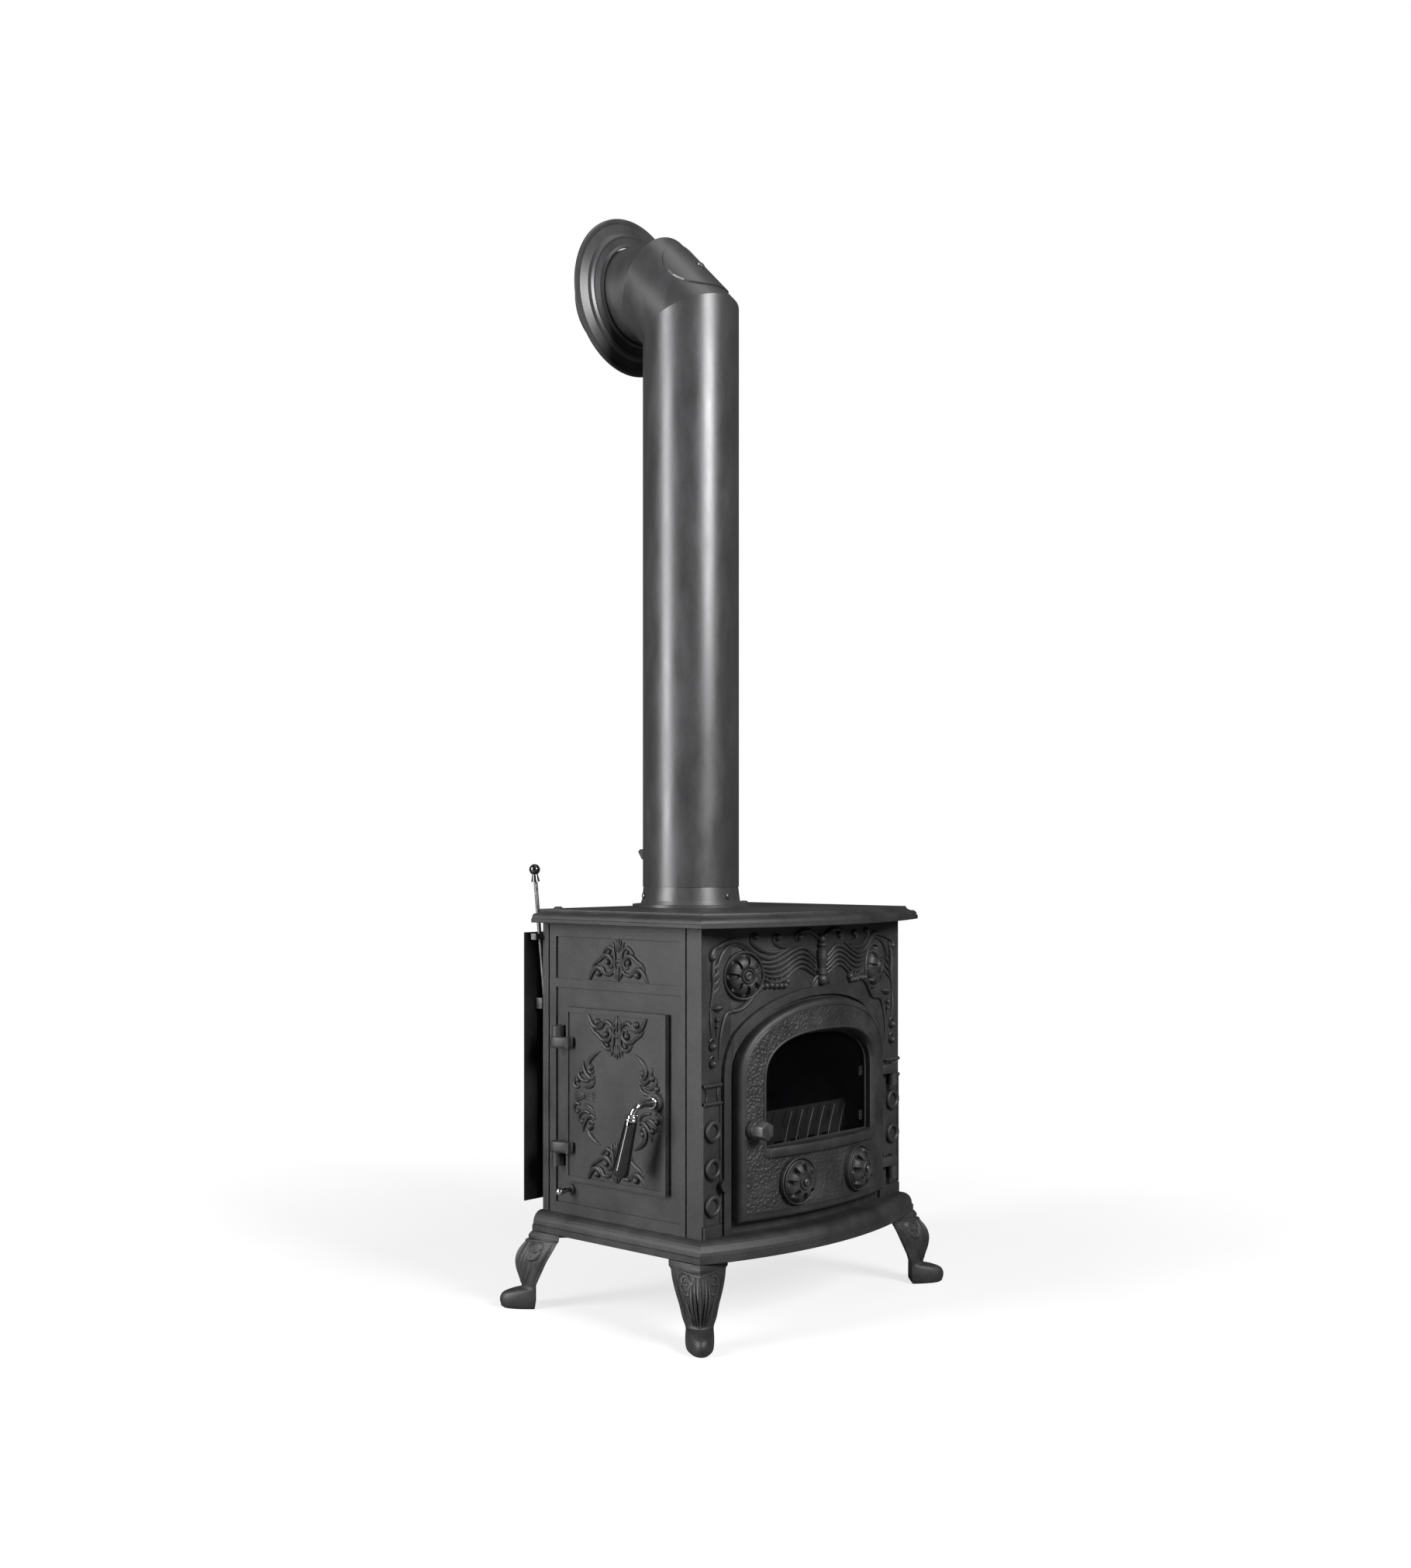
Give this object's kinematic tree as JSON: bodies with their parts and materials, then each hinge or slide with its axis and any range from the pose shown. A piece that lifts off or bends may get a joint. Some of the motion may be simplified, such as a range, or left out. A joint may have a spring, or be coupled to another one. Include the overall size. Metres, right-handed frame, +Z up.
{
  "type": "wood stove",
  "caption": "Bow-fronted cast-iron wood stove on cabriole legs, with a glazed arched front door, a side door and a flue pipe that turns back into the wall.",
  "frame": {"origin": "on the floor, midway between the side panels and midway between the front edge of the top plate and the flue's end in the wall", "axes": "+X to the right seen from the front, +Y back towards the wall, +Z up"},
  "size_m": [0.5809, 0.488, 1.69],
  "materials": {
    "iron": "matte black stove paint",
    "door_iron": "grained matte",
    "liner_iron": "pale baked liner",
    "flue_paint": "satin black",
    "black_sheet": "satin black",
    "steel": "plain",
    "bright": "bright nickel",
    "grip_plastic": "glossy black",
    "door_glass": "dark stove glass",
    "rope": "braided glass rope"
  },
  "bodies": {
    "stove": {"base_plate": "iron", "leg_front_left": "iron", "leg_front_right": "iron", "leg_back_left": "iron", "leg_back_right": "iron", "leg_bolts": "steel", "front_plate": "iron", "side_panel_left": "iron", "side_panel_right": "iron", "back_panel": "iron", "top_plate": "iron", "tie_rods": "steel", "striker_screw": "iron", "flue_collar": "iron", "collar_screws": "steel", "flue_pipe": "flue_paint", "flue_elbow": "flue_paint", "elbow_hatch_cover": "flue_paint", "hatch_screw": "steel", "wall_rosette": "flue_paint", "front_hinge_pins": "bright", "side_hinge_pins": "bright", "fire_grate": "iron", "ash_pan": "steel", "log_guard": "liner_iron", "rear_liner": "liner_iron", "baffle_plate": "iron", "heat_shield": "black_sheet", "shield_spacers": "steel", "shield_screws": "steel", "air_rod_guide": "steel"},
    "front_door": {"front_door": "door_iron", "door_glass": "door_glass", "glass_gasket": "rope", "glass_clips": "steel", "clip_screws": "steel", "front_door_seal": "rope", "spinner_studs": "iron"},
    "latch": {"latch_knob": "bright", "latch_tongue": "steel"},
    "air_spinner_left": {"air_spinner_left": "iron"},
    "air_spinner_right": {"air_spinner_right": "iron"},
    "side_door": {"side_door": "door_iron", "side_door_seal": "rope"},
    "side_handle": {"side_handle_arm": "bright", "side_handle_ferrule": "bright", "side_handle_grip": "grip_plastic", "side_latch_tongue": "steel"},
    "damper": {"damper_disc": "iron", "damper_spindle": "iron"},
    "riddle": {"riddle_plate": "iron", "riddle_arm": "iron", "riddle_rod": "bright", "riddle_knob": "bright"},
    "air_control": {"air_rod": "steel", "air_rod_knob": "grip_plastic", "air_shutter": "steel"}
  },
  "joints": [
    {"name": "front_door_hinge", "type": "hinge", "parent": "stove", "child": "front_door", "pos_m": [0.2, -0.1805, 0.3], "axis": [0, 0, 1], "range_deg": [0, 110]},
    {"name": "latch_turn", "type": "hinge", "parent": "front_door", "child": "latch", "pos_m": [-0.149, -0.18, 0.287], "axis": [0, 1, 0], "range_deg": [0, 90]},
    {"name": "air_spinner_left_turn", "type": "hinge", "parent": "front_door", "child": "air_spinner_left", "pos_m": [-0.0705, -0.20779, 0.207], "axis": [-0.119, -0.9929, 0], "range_deg": [0, 45]},
    {"name": "air_spinner_right_turn", "type": "hinge", "parent": "front_door", "child": "air_spinner_right", "pos_m": [0.0705, -0.20779, 0.207], "axis": [0.119, -0.9929, 0], "range_deg": [0, 45]},
    {"name": "side_door_hinge", "type": "hinge", "parent": "stove", "child": "side_door", "pos_m": [-0.2425, 0.1065, 0.32], "axis": [0, 0, -1], "range_deg": [0, 105]},
    {"name": "side_handle_turn", "type": "hinge", "parent": "side_door", "child": "side_handle", "pos_m": [-0.25, -0.089, 0.325], "axis": [-1, 0, 0], "range_deg": [0, 90]},
    {"name": "damper_turn", "type": "hinge", "parent": "stove", "child": "damper", "pos_m": [0, 0.0605, 0.676], "axis": [0, 1, 0], "range_deg": [0, 90]},
    {"name": "riddle_slide", "type": "slide", "parent": "stove", "child": "riddle", "axis": [-1, 0, 0], "range_m": [0, 0.015]},
    {"name": "air_control_slide", "type": "slide", "parent": "stove", "child": "air_control", "axis": [-0.1045, 0, 0.9945], "range_m": [0, 0.03]}
  ]
}
